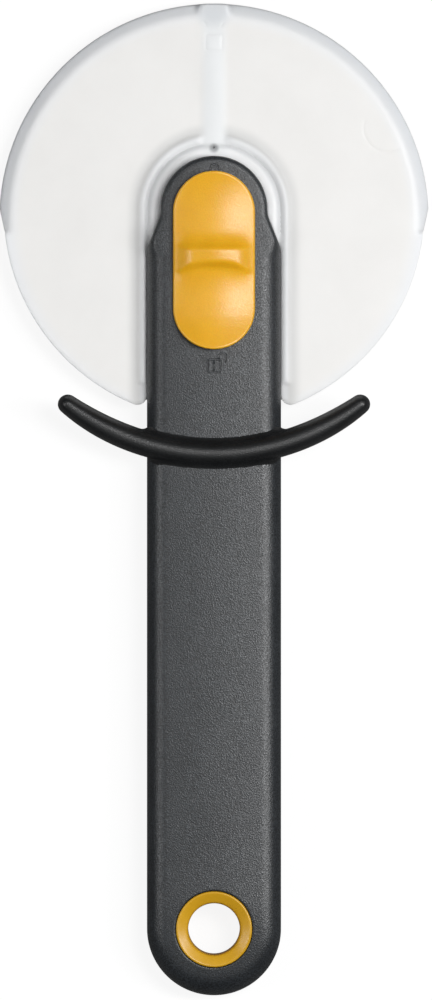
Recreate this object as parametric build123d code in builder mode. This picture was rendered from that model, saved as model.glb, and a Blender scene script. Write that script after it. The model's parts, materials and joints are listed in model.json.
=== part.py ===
from build123d import *
from math import radians, sqrt, tan
import os

os.makedirs("parts", exist_ok=True)

# A pizza cutter lying on its back: +Z up, +Y from the handle's end to the wheel, +X to the right.
# Sketches are drawn round the axle, so their x and y are measured from it.

# Overall sizes
guard_radius = 50.0
axle_to_end = 181.0
grip_width = 31.2
grip_depth = 14.0
axle_y = (axle_to_end - guard_radius) / 2

# Running and resting clearances
shaft_clearance = 0.05
thin_gap = 0.1
plate_gap = 0.2
slide_gap = 0.35
overrun = 1.0

# Handle outline
grip_half = grip_width / 2
neck_step = 3.2
head_radius = grip_half - neck_step
head_rise = 1.95
neck_top = 0.75
neck_low = -7.25
neck_round = 6.0
grip_round = 4.5
crown_radius = 170.0
ring_v = -(axle_to_end - grip_half)

# Handle shells
split_z = 6.5
shell_wall = 2.2
step_gap = 0.4
step_radius = guard_radius + step_gap
edge_break = 0.25
bar_to_cavity = 9.2
ring_to_cavity = 13.4
cavity_to_first_screw = 10.0
cavity_to_last_screw = 6.0

# Shell screws
screw_radius = 1.5
screw_head_radius = 2.8
screw_head_height = 1.9
screw_floor = 2.6
screw_tip_z = 11.2
screw_clearance = 0.2
recess_width = 0.8
recess_depth = 0.9
front_boss_radius = 3.8
back_boss_radius = 4.9

# Hanging ring
ring_bore_radius = 5.7
ring_bore_length = 8.0
ring_face_radius = 8.6
ring_lip_width = 0.6
ring_collar_radius = 9.6
ring_proud = 0.2

# Wheel
blade_to_guard_edge = 5.5
blade_radius = guard_radius - blade_to_guard_edge
blade_thickness = 1.0
blade_bevel = 2.6
blade_edge = 0.12
guard_depth = 8.0
blade_z = guard_depth / 2 - blade_thickness / 2
hub_radius = 11.0
back_hub_thickness = 1.5
front_hub_thickness = 0.9
hub_edge_round = 0.4
bush_radius = 4.2
rivet_radius = 1.0
rivet_pitch_radius = 8.0
rivet_count = 3

# Axle
axle_radius = 3.0
axle_head_radius = 5.5
axle_head_z = 0.35
axle_head_rim = 0.6
washer_radius = 5.5
washer_thickness = 0.3
clip_thickness = 0.4
clip_radius = 5.0
clip_groove_radius = 2.45
clip_opening_angle = 80.0
axle_tip_chamfer = 0.4

# Lock
cover_thickness = 1.2
cover_margin = 1.6
cover_low = -37.0
cover_screw_radius = 1.0
cover_screw_head_radius = 1.9
cover_screw_length = 4.6
cover_screw_inset = 4.4
cover_screw_u = grip_half - cover_screw_inset
cover_screw_vs = (-12.0, -33.0)
small_slot_width = 0.5
small_slot_depth = 0.5
chamber_side_wall = 7.4
chamber_half = grip_half - chamber_side_wall
chamber_head_wall = 2.6
chamber_head_radius = head_radius - chamber_head_wall
plate_thickness = 1.0
plate_side_room = 2.2
plate_half = chamber_half - plate_side_room
plate_low = -23.0
plate_end_room = 0.55
plate_top_centre = head_rise + chamber_head_radius - plate_end_room - plate_half
travel = 6.5
lock_groove_radius = 2.1
keyhole_radius = 3.3
ceiling_z = 11.6
chamber_low = -30.4
socket_radius = 4.6
socket_boss_radius = 6.0
socket_seat_depth = 1.0

# Detent spring
spring_thickness = 0.3
spring_height = 2.0
spring_top = -6.0
spring_low = -22.0
bump_v = -14.0
bump_radius = 0.7
notch_depth = 0.65

# Release button
button_width = 19.07
button_length = 41.4
button_v = -9.93
button_gap = 0.2
button_height = 4.2
button_edge_round = 1.4
scoop_depth = 2.4
scoop_middle_drop = 1.9
scoop_end_drop = 1.2
ridge_v = -7.25
ridge_width = 3.7
ridge_round = 0.6
tenon_width = 6.0
tenon_top = -6.5
tenon_low = -21.0
button_screw_radius = 1.1
button_screw_head_radius = 2.0
button_screw_length = 4.6
button_screw_vs = (-10.5, -17.0)

# Padlock marks, engraved beside the button's two ends
mark_size = 3.3
mark_line = 0.35
mark_depth = 0.2
shackle_radius = 0.95
shackle_leg = 0.7
closed_mark_v = 9.25
open_mark_v = -34.2
open_shackle_shift = 2.5

# Finger guard
bar_width = 6.05
bar_radius = 56.3
step_to_bar = 4.4
bar_middle_v = -(step_radius + step_to_bar)
bar_reach = 36.3
bar_tip_radius = 2.3
bar_low_z = 7.6
bar_height = 9.0
bar_edge_round = 2.15

# Blade guard
guard_wall = 1.2
rim_width = 3.0
rim_round = 2.9
rim_cut_top = 2.3
rim_cut_low = -3.3
lower_inset = 1.1
lower_radius = guard_radius - lower_inset
lower_rise = 1.5
front_wall_inset = 0.8
leg_short = 7.0
leg_low = leg_short - guard_radius
back_wall_short = 7.5
back_wall_low = back_wall_short - guard_radius
leg_corner_round = 2.0
hub_slot_gap = 0.8
back_slot_half = hub_radius + hub_slot_gap
slot_to_bead = 1.2
bead_path_radius = grip_half + slot_to_bead
bead_width = 2.6
bead_height = 0.7
bead_to_leg_end = 4.6
bead_low = leg_low + bead_to_leg_end
rib_width = 4.2
rib_height = 0.45
slot_to_rib = 2.8
rib_inset = 6.0
rib_top = guard_radius - rib_inset
pad_width = 6.0
pad_height = 0.25
pad_length = 8.2
pad_inset = 4.0
pad_top = guard_radius - pad_inset
tab_width = 9.5
tab_inner_width = 3.5
tab_depth = 5.0
drain_radius = 0.6
slot_to_drain = 1.5
drain_tip = 1.2


def level(z):
    """Plane at height z, with its origin on the axle."""
    return Plane((0, axle_y, z))


def section(z=0, v=0):
    """Upright plane facing the handle's end, with x to the right and y up from height z."""
    return Plane((0, axle_y + v, z), x_dir=(1, 0, 0), z_dir=(0, -1, 0))


def upright(v=0):
    """Vertical axis, v towards the wheel from the axle."""
    return Axis((0, axle_y + v, 0), (0, 0, 1))


def finish(piece, name):
    """Label a piece and write it."""
    piece.part.label = name
    export_step(piece.part, f"parts/{name}.step")


# Heights that follow from the wheel's stack, from the back to the front
hub_back_z = blade_z - back_hub_thickness
hub_front_z = blade_z + blade_thickness + front_hub_thickness
back_washer_z = hub_back_z - shaft_clearance - washer_thickness
axle_head_round = back_washer_z - axle_head_z - axle_head_rim
front_washer_z = hub_front_z + shaft_clearance
clip_z = front_washer_z + washer_thickness + shaft_clearance
cover_top_z = split_z + cover_thickness
plate_z = cover_top_z + 2 * plate_gap
plate_top_z = plate_z + plate_thickness
socket_z = plate_top_z + plate_gap
socket_top_z = ceiling_z + socket_seat_depth
axle_tip_z = socket_top_z - plate_gap
cavity_ceiling_z = grip_depth - shell_wall
notch_radius = bump_radius + plate_gap
button_z = grip_depth + button_gap
button_top_z = button_z + button_height
ring_seat_z = (grip_depth - ring_bore_length) / 2
ring_seat_top_z = ring_seat_z + ring_bore_length
ring_top_z = grip_depth + ring_proud

head_top = head_rise + head_radius
cavity_top = bar_middle_v - bar_to_cavity
cavity_low = ring_v + ring_to_cavity
first_screw_v = cavity_top - cavity_to_first_screw
last_screw_v = cavity_low + cavity_to_last_screw
shell_screw_vs = (first_screw_v, (first_screw_v + last_screw_v) / 2, last_screw_v)

# Whole handle from the front
with BuildSketch() as handle_face:
    with BuildLine():
        CenterArc((0, head_rise), head_radius, 0, 90)
        FilletPolyline(
            (head_radius, head_rise),
            (head_radius, neck_top),
            (grip_half, neck_low),
            (grip_half, ring_v),
            radius=neck_round,
        )
        CenterArc((0, ring_v), grip_half, 270, 90)
        mirror(about=Plane.YZ)
    make_face()

# Lock chamber, closed at the arm's back by its cover
with BuildSketch() as chamber_face:
    with Locations((0, head_rise)):
        Circle(chamber_head_radius)
        Rectangle(2 * chamber_half, head_rise - chamber_low, align=(Align.CENTER, Align.MAX))

with BuildSketch() as cover_face:
    offset(handle_face.sketch, amount=-cover_margin)
    with Locations((0, cover_low)):
        Rectangle(grip_width, axle_to_end, align=(Align.CENTER, Align.MAX), mode=Mode.SUBTRACT)

# Hollow of the grip, less the screw bosses
with BuildSketch() as cavity_face:
    offset(handle_face.sketch, amount=-shell_wall)
    with Locations((0, cavity_top)):
        Rectangle(grip_width, axle_to_end, align=(Align.CENTER, Align.MIN), mode=Mode.SUBTRACT)
    with Locations((0, cavity_low)):
        Rectangle(grip_width, axle_to_end, align=(Align.CENTER, Align.MAX), mode=Mode.SUBTRACT)
    fillet(cavity_face.vertices(), radius=shell_wall)

shell_screw_places = [(0, v) for v in shell_screw_vs]
cover_screw_places = [(side * cover_screw_u, v) for side in (-1, 1) for v in cover_screw_vs]
button_screw_places = [(0, v) for v in button_screw_vs]

# Seat of the ring: a straight hole with a wider groove at mid depth
with BuildPart() as ring_seat:
    with BuildSketch(level(-overrun)):
        with Locations((0, ring_v)):
            Circle(ring_face_radius + shaft_clearance)
    extrude(amount=grip_depth + 2 * overrun)
    with BuildSketch(level(ring_seat_z)):
        with Locations((0, ring_v)):
            Circle(ring_collar_radius + shaft_clearance)
    extrude(amount=ring_bore_length)


# Finger guard: a curved bar through the front shell, its two wings narrowing to round tips
bar_centre_v = bar_middle_v + bar_radius
tip_u = bar_reach - bar_tip_radius
tip_v = bar_centre_v - sqrt(bar_radius**2 - tip_u**2)
across_tip = Vector(tip_u, tip_v - bar_centre_v).normalized() * bar_tip_radius
along_tip = across_tip.rotate(Axis.Z, 90)
with BuildPart() as finger_guard:
    with BuildSketch(level(bar_low_z)):
        with BuildLine():
            tip = Vector(tip_u, tip_v)
            upper = ThreePointArc(
                (-(tip - across_tip).X, (tip - across_tip).Y),
                (0, bar_middle_v + bar_width / 2),
                tip - across_tip,
            )
            end = ThreePointArc(upper @ 1, tip + along_tip, tip + across_tip)
            lower = ThreePointArc(
                end @ 1,
                (0, bar_middle_v - bar_width / 2),
                (-(end @ 1).X, (end @ 1).Y),
            )
            ThreePointArc(lower @ 1, (-(tip + along_tip).X, (tip + along_tip).Y), upper @ 0)
        make_face()
    extrude(amount=bar_height)
    bar_rims = finger_guard.edges().group_by(Axis.Z)
    fillet(bar_rims[-1] + bar_rims[0], radius=bar_edge_round)
finish(finger_guard, "finger_guard")


def padlock(v, shackle_u):
    """Outline of a small padlock at height v, its shackle shifted sideways by shackle_u."""
    with BuildSketch() as mark:
        with Locations((0, v)):
            Rectangle(mark_size, mark_size)
            Rectangle(mark_size - 2 * mark_line, mark_size - 2 * mark_line, mode=Mode.SUBTRACT)
        with Locations((shackle_u, v + mark_size / 2 + shackle_leg)):
            Circle(shackle_radius + mark_line / 2)
            Rectangle(
                2 * shackle_radius + mark_line,
                shackle_leg,
                align=(Align.CENTER, Align.MAX),
            )
            Circle(shackle_radius - mark_line / 2, mode=Mode.SUBTRACT)
            Rectangle(
                2 * shackle_radius - mark_line,
                shackle_leg,
                align=(Align.CENTER, Align.MAX),
                mode=Mode.SUBTRACT,
            )
    return mark.sketch


padlocks = padlock(closed_mark_v, 0) + padlock(open_mark_v, open_shackle_shift)

# Front shell: arm and front of the grip in one moulding
with BuildPart() as handle_front_shell:
    with BuildSketch(level(split_z)):
        add(handle_face.sketch)
    extrude(amount=grip_depth - split_z)
    with BuildSketch(section(grip_depth - crown_radius, head_top)):
        Circle(crown_radius)
    extrude(amount=axle_to_end + head_top, mode=Mode.INTERSECT)
    fillet(handle_front_shell.faces().sort_by(Axis.Z)[-1].edges(), radius=grip_round)
    chamfer(handle_front_shell.edges().group_by(Axis.Z)[0], length=edge_break)
    with BuildSketch(level(split_z)):
        add(cover_face.sketch)
    extrude(amount=cover_thickness, mode=Mode.SUBTRACT)
    with BuildSketch(level(split_z)):
        add(chamber_face.sketch)
    extrude(amount=ceiling_z - split_z, mode=Mode.SUBTRACT)
    with BuildSketch(level(socket_z)):
        Circle(socket_boss_radius)
    extrude(amount=ceiling_z - socket_z)
    with BuildSketch(level(socket_z)):
        Circle(socket_radius)
    extrude(amount=socket_top_z - socket_z, mode=Mode.SUBTRACT)
    with BuildSketch(level(ceiling_z)):
        with Locations((0, tenon_top + plate_gap)):
            Rectangle(
                tenon_width + 2 * plate_gap,
                tenon_top - tenon_low + travel + 2 * plate_gap,
                align=(Align.CENTER, Align.MAX),
            )
    extrude(amount=grip_depth - ceiling_z, mode=Mode.SUBTRACT)
    with BuildSketch(level(cover_top_z)):
        with Locations(cover_screw_places):
            Circle(cover_screw_radius)
    extrude(amount=cover_screw_length - cover_thickness + plate_gap, mode=Mode.SUBTRACT)
    with BuildSketch(level(split_z)):
        add(cavity_face.sketch)
        with Locations(shell_screw_places):
            Circle(front_boss_radius, mode=Mode.SUBTRACT)
    extrude(amount=cavity_ceiling_z - split_z, mode=Mode.SUBTRACT)
    with BuildSketch(level(split_z)):
        with Locations(shell_screw_places):
            Circle(screw_radius)
    extrude(amount=screw_tip_z - split_z + plate_gap, mode=Mode.SUBTRACT)
    with BuildSketch(level(grip_depth - mark_depth)):
        add(padlocks)
    extrude(amount=mark_depth, mode=Mode.SUBTRACT)
    add(ring_seat.part, mode=Mode.SUBTRACT)
    add(finger_guard.part, mode=Mode.SUBTRACT)
finish(handle_front_shell, "handle_front_shell")

# Back shell: back of the grip, ending in an arc that stays clear of the blade guard
with BuildPart() as handle_back_shell:
    with BuildSketch(level(0)):
        add(handle_face.sketch)
        Circle(step_radius, mode=Mode.SUBTRACT)
    extrude(amount=split_z)
    fillet(handle_back_shell.edges().group_by(Axis.Z)[0], radius=grip_round)
    chamfer(handle_back_shell.edges().group_by(Axis.Z)[-1], length=edge_break)
    with BuildSketch(level(shell_wall)):
        add(cavity_face.sketch)
        with Locations(shell_screw_places):
            Circle(back_boss_radius, mode=Mode.SUBTRACT)
    extrude(amount=split_z - shell_wall, mode=Mode.SUBTRACT)
    with BuildSketch(level(0)):
        with Locations(shell_screw_places):
            Circle(screw_head_radius + screw_clearance)
    extrude(amount=screw_floor, mode=Mode.SUBTRACT)
    with BuildSketch(level(screw_floor)):
        with Locations(shell_screw_places):
            Circle(screw_radius + screw_clearance)
    extrude(amount=split_z - screw_floor, mode=Mode.SUBTRACT)
    add(ring_seat.part, mode=Mode.SUBTRACT)
finish(handle_back_shell, "handle_back_shell")

# Screws that join the shells, driven from the back
with BuildPart() as handle_screws:
    with BuildSketch(level(screw_floor - screw_head_height)):
        with Locations(shell_screw_places):
            Circle(screw_head_radius)
    extrude(amount=screw_head_height)
    with BuildSketch(level(screw_floor)):
        with Locations(shell_screw_places):
            Circle(screw_radius)
    extrude(amount=screw_tip_z - screw_floor)
    with BuildSketch(level(screw_floor - screw_head_height)):
        with Locations(shell_screw_places):
            Rectangle(2 * screw_radius, recess_width)
            Rectangle(recess_width, 2 * screw_radius)
    extrude(amount=recess_depth, mode=Mode.SUBTRACT)
finish(handle_screws, "handle_screws")

# Hanging ring: an eyelet with a funnel at each face and a collar held between the shells
with BuildPart() as hanging_ring:
    with BuildSketch(section(0, ring_v)):
        with BuildLine():
            Polyline(
                (ring_face_radius - ring_lip_width, 0),
                (ring_face_radius, 0),
                (ring_face_radius, ring_seat_z),
                (ring_collar_radius, ring_seat_z),
                (ring_collar_radius, ring_seat_top_z),
                (ring_face_radius, ring_seat_top_z),
                (ring_face_radius, ring_top_z),
                (ring_face_radius - ring_lip_width, ring_top_z),
            )
            TangentArc(
                (ring_bore_radius, ring_seat_top_z),
                (ring_face_radius - ring_lip_width, ring_top_z),
                tangent=(0, 1),
            )
            Line((ring_bore_radius, ring_seat_top_z), (ring_bore_radius, ring_seat_z))
            TangentArc(
                (ring_bore_radius, ring_seat_z),
                (ring_face_radius - ring_lip_width, 0),
                tangent=(0, -1),
            )
        make_face()
    revolve(axis=upright(ring_v))
finish(hanging_ring, "hanging_ring")

# Metal sleeve pressed into the front shell, which takes the pin's end
with BuildPart() as axle_socket:
    with BuildSketch(level(socket_z)):
        Circle(socket_radius)
        Circle(axle_radius + shaft_clearance, mode=Mode.SUBTRACT)
    extrude(amount=socket_top_z - socket_z)
finish(axle_socket, "axle_socket")

def countersunk_screw(shank_radius, head_radius, length):
    """Screw with its head's flat face at z=0 and its tip upwards."""
    with BuildPart() as screw:
        with BuildSketch(Plane.XZ):
            with BuildLine():
                Polyline(
                    (0, 0),
                    (head_radius, 0),
                    (shank_radius, head_radius - shank_radius),
                    (shank_radius, length),
                    (0, length),
                    close=True,
                )
            make_face()
        revolve(axis=Axis.Z)
    return screw.part


cover_screw = countersunk_screw(cover_screw_radius, cover_screw_head_radius, cover_screw_length)
button_screw = countersunk_screw(button_screw_radius, button_screw_head_radius, button_screw_length)

# Cover of the lock chamber and its four screws
with BuildPart() as lock_cover:
    with BuildSketch(level(split_z)):
        offset(cover_face.sketch, amount=-thin_gap)
        Circle(axle_radius + shaft_clearance, mode=Mode.SUBTRACT)
    extrude(amount=cover_thickness)
    with Locations(level(split_z)):
        with Locations(cover_screw_places):
            add(cover_screw, mode=Mode.SUBTRACT)
finish(lock_cover, "lock_cover")

with BuildPart() as cover_screws:
    with Locations(level(split_z)):
        with Locations(cover_screw_places):
            add(cover_screw)
    with BuildSketch(level(split_z)):
        with Locations(cover_screw_places):
            Rectangle(2 * cover_screw_radius, small_slot_width)
    extrude(amount=small_slot_depth, mode=Mode.SUBTRACT)
finish(cover_screws, "cover_screws")

# Detent spring: a leaf with two feet against the chamber's wall and a bump in the plate's notch
bump_u = plate_half + notch_radius - notch_depth
leaf_u = bump_u + bump_radius - spring_thickness
foot_length = chamber_half - leaf_u
with BuildPart() as detent_spring:
    with BuildSketch(level(cover_top_z)):
        with Locations((leaf_u, spring_low)):
            Rectangle(spring_thickness, spring_top - spring_low, align=(Align.MIN, Align.MIN))
        with Locations((leaf_u, spring_low), (leaf_u, spring_top - spring_thickness)):
            Rectangle(foot_length, spring_thickness, align=(Align.MIN, Align.MIN))
        with Locations((bump_u, bump_v)):
            Circle(bump_radius)
    extrude(amount=spring_height)
finish(detent_spring, "detent_spring")

# Keyhole plate: its narrow slot holds the pin's groove until the plate slides by the travel
with BuildPart() as lock_plate:
    with BuildSketch(level(plate_z)):
        with Locations((0, plate_top_centre)):
            Circle(plate_half)
            Rectangle(2 * plate_half, plate_top_centre - plate_low, align=(Align.CENTER, Align.MAX))
        with Locations((0, travel)):
            Circle(keyhole_radius, mode=Mode.SUBTRACT)
        Circle(lock_groove_radius + thin_gap, mode=Mode.SUBTRACT)
        Rectangle(
            2 * (lock_groove_radius + thin_gap),
            travel,
            align=(Align.CENTER, Align.MIN),
            mode=Mode.SUBTRACT,
        )
        with Locations((bump_u, bump_v), (bump_u, bump_v + travel)):
            Circle(notch_radius, mode=Mode.SUBTRACT)
    extrude(amount=plate_thickness)
    with Locations(level(plate_z)):
        with Locations(button_screw_places):
            add(button_screw, mode=Mode.SUBTRACT)
finish(lock_plate, "lock_plate")

# Release button: a rounded pad with a cross ridge between two thumb scoops, and a tenon below
button_top_v = button_v + button_length / 2
button_low_v = button_v - button_length / 2
button_crown = crown_radius - sqrt(crown_radius**2 - (button_width / 2) ** 2)
with BuildPart() as release_button:
    with BuildSketch(level(button_z - button_crown)):
        with Locations((0, button_v)):
            SlotOverall(button_length, button_width, rotation=90)
    extrude(amount=button_height + button_crown)
    fillet(release_button.edges().group_by(Axis.Z)[-1], radius=button_edge_round)
    with BuildSketch(section(grip_depth - crown_radius, button_top_v)):
        Circle(crown_radius + button_gap)
    extrude(amount=button_length, mode=Mode.SUBTRACT)
    for side, far_v in ((1, button_top_v), (-1, button_low_v)):
        near_v = ridge_v + side * ridge_width / 2
        middle_v = (near_v + far_v) / 2
        with BuildSketch(Plane((0, axle_y, button_top_z), x_dir=(0, 1, 0), z_dir=(1, 0, 0))) as scoop:
            with BuildLine():
                Polyline(
                    (near_v, -scoop_depth),
                    (near_v, overrun),
                    (far_v, overrun),
                    (far_v, -scoop_end_drop),
                )
                ThreePointArc(
                    (far_v, -scoop_end_drop),
                    (middle_v, -scoop_middle_drop),
                    (near_v, -scoop_depth),
                )
            make_face()
            fillet(scoop.vertices().sort_by(Axis.Y)[0], radius=ridge_round)
        extrude(amount=button_width, both=True, mode=Mode.SUBTRACT)
    with BuildSketch(level(plate_top_z)):
        with Locations((0, tenon_top)):
            Rectangle(tenon_width, tenon_top - tenon_low, align=(Align.CENTER, Align.MAX))
    extrude(amount=button_z - plate_top_z)
    with Locations(level(plate_z)):
        with Locations(button_screw_places):
            add(button_screw, mode=Mode.SUBTRACT)
finish(release_button, "release_button")

with BuildPart() as button_screws:
    with Locations(level(plate_z)):
        with Locations(button_screw_places):
            add(button_screw)
    with BuildSketch(level(plate_z)):
        with Locations(button_screw_places):
            Rectangle(2 * button_screw_radius, small_slot_width)
    extrude(amount=small_slot_depth, mode=Mode.SUBTRACT)
finish(button_screws, "button_screws")

# Stepped pin: head at the back, groove for the clip, groove for the keyhole plate
with BuildPart() as axle_pin:
    with BuildSketch(section()) as pin_section:
        with Locations((0, axle_head_z)):
            Rectangle(axle_head_radius, back_washer_z - axle_head_z, align=(Align.MIN, Align.MIN))
        fillet(pin_section.vertices().group_by(Axis.X)[-1].sort_by(Axis.Y)[0], radius=axle_head_round)
        with Locations((0, axle_head_z)):
            Rectangle(axle_radius, axle_tip_z - axle_head_z, align=(Align.MIN, Align.MIN))
        chamfer(pin_section.vertices().group_by(Axis.Y)[-1].sort_by(Axis.X)[-1], axle_tip_chamfer)
        with Locations((clip_groove_radius, clip_z)):
            Rectangle(axle_radius, clip_thickness, align=(Align.MIN, Align.MIN), mode=Mode.SUBTRACT)
        with Locations((lock_groove_radius, plate_z - thin_gap)):
            Rectangle(
                axle_radius,
                plate_thickness + 2 * thin_gap,
                align=(Align.MIN, Align.MIN),
                mode=Mode.SUBTRACT,
            )
    revolve(axis=upright())
finish(axle_pin, "axle_pin")

# Open clip in the pin's groove
clip_reach = 2 * clip_radius
with BuildPart() as axle_clip:
    with BuildSketch(level(clip_z)):
        Circle(clip_radius)
        Circle(clip_groove_radius, mode=Mode.SUBTRACT)
        Polygon(
            (0, 0),
            (-clip_reach * tan(radians(clip_opening_angle / 2)), -clip_reach),
            (clip_reach * tan(radians(clip_opening_angle / 2)), -clip_reach),
            align=None,
            mode=Mode.SUBTRACT,
        )
    extrude(amount=clip_thickness)
finish(axle_clip, "axle_clip")


def ring(plane, inner, outer, height, name):
    """Flat ring standing on the plane."""
    with BuildPart() as piece:
        with BuildSketch(plane):
            Circle(outer)
            Circle(inner, mode=Mode.SUBTRACT)
        extrude(amount=height)
    finish(piece, name)


pin_bore_radius = axle_radius + shaft_clearance
ring(level(back_washer_z), pin_bore_radius, washer_radius, washer_thickness, "back_washer")
ring(level(front_washer_z), pin_bore_radius, washer_radius, washer_thickness, "front_washer")
ring(level(hub_back_z), pin_bore_radius, bush_radius, hub_front_z - hub_back_z, "hub_bush")


def hub_plate(z, thickness, rim_face, name):
    """Disc that clamps the blade; rim_face picks the outer face's edges, first or last in height."""
    with BuildPart() as plate:
        with BuildSketch(level(z)):
            Circle(hub_radius)
        extrude(amount=thickness)
        fillet(plate.edges().group_by(Axis.Z)[rim_face], radius=hub_edge_round)
        with BuildSketch(level(z)):
            Circle(bush_radius)
            with PolarLocations(rivet_pitch_radius, rivet_count, start_angle=90):
                Circle(rivet_radius)
        extrude(amount=thickness, mode=Mode.SUBTRACT)
    finish(plate, name)


hub_plate(hub_back_z, back_hub_thickness, 0, "back_hub_plate")
hub_plate(blade_z + blade_thickness, front_hub_thickness, -1, "front_hub_plate")

with BuildPart() as hub_rivets:
    with BuildSketch(level(hub_back_z)):
        with PolarLocations(rivet_pitch_radius, rivet_count, start_angle=90):
            Circle(rivet_radius)
    extrude(amount=hub_front_z - hub_back_z)
finish(hub_rivets, "hub_rivets")

# Round blade, ground to an edge from both faces
with BuildPart() as cutting_blade:
    with BuildSketch(section(blade_z)):
        with BuildLine():
            Polyline(
                (bush_radius, 0),
                (blade_radius - blade_bevel, 0),
                (blade_radius, (blade_thickness - blade_edge) / 2),
                (blade_radius, (blade_thickness + blade_edge) / 2),
                (blade_radius - blade_bevel, blade_thickness),
                (bush_radius, blade_thickness),
                close=True,
            )
        make_face()
    revolve(axis=upright())
    with BuildSketch(level(blade_z)):
        with PolarLocations(rivet_pitch_radius, rivet_count, start_angle=90):
            Circle(rivet_radius)
    extrude(amount=blade_thickness, mode=Mode.SUBTRACT)
finish(cutting_blade, "cutting_blade")

# Blade guard, one moulding: a rimmed upper half, two open walls below and a slot for the arm
with BuildSketch() as slot_face:
    offset(handle_face.sketch, amount=slide_gap)

with BuildSketch() as back_slot_face:
    Circle(back_slot_half)
    Rectangle(2 * back_slot_half, guard_radius, align=(Align.CENTER, Align.MAX))


def open_wall(radius, top, low, opening):
    """Plan of the two legs of a wall below the rim."""
    with BuildSketch() as wall:
        with Locations((0, lower_rise)):
            Circle(radius)
        with Locations((0, top)):
            Rectangle(2 * guard_radius, guard_radius, align=(Align.CENTER, Align.MAX), mode=Mode.INTERSECT)
        with Locations((0, low)):
            Rectangle(2 * guard_radius, guard_radius, align=(Align.CENTER, Align.MAX), mode=Mode.SUBTRACT)
        add(opening, mode=Mode.SUBTRACT)
        feet = wall.vertices().group_by(Axis.Y)[0].sort_by(Axis.X)
        fillet([feet[0], feet[-1]], radius=leg_corner_round)
    return wall.sketch


def cap_section(width, height):
    """Shallow round-topped section that stands on its x axis."""
    with BuildSketch() as cap:
        with BuildLine():
            ThreePointArc((-width / 2, 0), (0, height), (width / 2, 0))
            Line((width / 2, 0), (-width / 2, 0))
        make_face()
    return cap.sketch


front_lower_radius = lower_radius - front_wall_inset
front_wall_z = guard_depth - guard_wall
rim_cut_u = sqrt(front_lower_radius**2 - (rim_cut_low - lower_rise) ** 2)
front_legs = open_wall(front_lower_radius, rim_cut_low, leg_low, slot_face.sketch)
back_legs = open_wall(lower_radius, rim_cut_top, back_wall_low, back_slot_face.sketch)
bead_section = cap_section(bead_width, bead_height)
rib_section = cap_section(rib_width, rib_height)
beyond = guard_radius + overrun
slot_top = head_top + slide_gap
rib_low = slot_top + slot_to_rib
drain_v = slot_top + slot_to_drain

with BuildPart() as blade_guard:
    with BuildSketch(section()) as rim_section:
        Rectangle(guard_radius, guard_depth, align=(Align.MIN, Align.MIN))
        fillet(rim_section.vertices().group_by(Axis.X)[-1], radius=rim_round)
    revolve(axis=upright())
    with BuildSketch(level(0)):
        Polygon(
            (-tab_width / 2, beyond),
            (-tab_inner_width / 2, guard_radius - tab_depth),
            (tab_inner_width / 2, guard_radius - tab_depth),
            (tab_width / 2, beyond),
            align=None,
        )
        Circle(guard_radius, mode=Mode.INTERSECT)
    extrude(amount=guard_depth)
    with BuildSketch(level(0)):
        with Locations((0, rim_cut_low)):
            Rectangle(2 * beyond, beyond, align=(Align.CENTER, Align.MAX))
        for side in (-1, 1):
            Polygon(
                (side * rim_cut_u, rim_cut_low),
                (side * beyond, rim_cut_low),
                (side * beyond, rim_cut_top),
                (side * sqrt(guard_radius**2 - rim_cut_top**2), rim_cut_top),
                align=None,
            )
    extrude(amount=guard_depth, mode=Mode.SUBTRACT)
    with BuildSketch(level(front_wall_z)):
        add(front_legs)
    extrude(amount=guard_wall)
    with BuildSketch(level(0)):
        add(back_legs)
    extrude(amount=guard_wall)
    with BuildLine(level(guard_depth)):
        Line((-bead_path_radius, bead_low), (-bead_path_radius, head_rise))
        CenterArc((0, head_rise), bead_path_radius, 180, -180)
        Line((bead_path_radius, head_rise), (bead_path_radius, bead_low))
    with BuildSketch(section(guard_depth, bead_low)):
        with Locations((-bead_path_radius, 0)):
            add(bead_section)
    sweep()
    with BuildSketch(section(guard_depth, rib_low)):
        add(rib_section)
    extrude(amount=rib_low - rib_top)
    with BuildSketch(level(guard_depth)):
        with Locations((0, pad_top)):
            Rectangle(pad_width, pad_length, align=(Align.CENTER, Align.MAX))
    extrude(amount=pad_height)
    with BuildSketch(level(guard_wall)):
        Circle(guard_radius - rim_width)
    extrude(amount=front_wall_z - guard_wall, mode=Mode.SUBTRACT)
    with BuildSketch(level(front_wall_z)):
        add(slot_face.sketch)
        with Locations((0, drain_v)):
            Circle(drain_radius)
            Polygon(
                (-drain_radius, 0),
                (drain_radius, 0),
                (0, drain_tip),
                align=None,
            )
    extrude(amount=guard_wall + bead_height + overrun, mode=Mode.SUBTRACT)
    with BuildSketch(level(0)):
        add(back_slot_face.sketch)
    extrude(amount=guard_wall, mode=Mode.SUBTRACT)
finish(blade_guard, "blade_guard")
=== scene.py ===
import json
from math import asin, atan2, cos, degrees, hypot, pi, radians, sin, sqrt

import bpy
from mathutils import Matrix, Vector
from mathutils.geometry import delaunay_2d_cdt
from mathutils.kdtree import KDTree


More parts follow.
